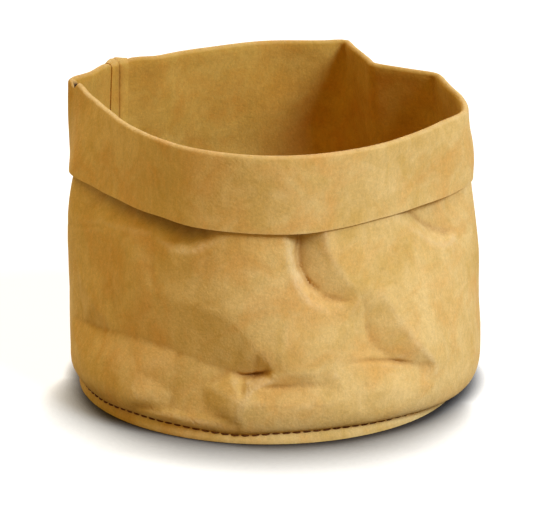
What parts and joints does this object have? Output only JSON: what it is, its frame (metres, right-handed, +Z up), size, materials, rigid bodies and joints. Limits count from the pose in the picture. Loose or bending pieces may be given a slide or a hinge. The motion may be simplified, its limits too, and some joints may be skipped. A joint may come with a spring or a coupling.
{
  "type": "paper bread basket",
  "caption": "Round soft basket of washable kraft paper, creased and slightly dented, with a folded-down cuff and a sewn-in round base.",
  "frame": {"origin": "on the floor, at the middle of the flat part of the base, where the basket rests", "axes": "+Z up out of the basket's mouth, -Y towards the side that the picture shows, +X to the picture's right"},
  "size_m": [0.2104, 0.2003, 0.1544],
  "materials": {
    "kraft_paper": "washable kraft paper, soft matt with a faint leathery sheen, creased",
    "seam_thread": "dark brown sewing thread"
  },
  "bodies": {
    "root": {"wall": "kraft_paper", "base": "kraft_paper", "base_seam_needle_thread": "seam_thread", "base_seam_bobbin_thread": "seam_thread", "side_seam_needle_thread": "seam_thread", "side_seam_bobbin_thread": "seam_thread"}
  },
  "joints": []
}
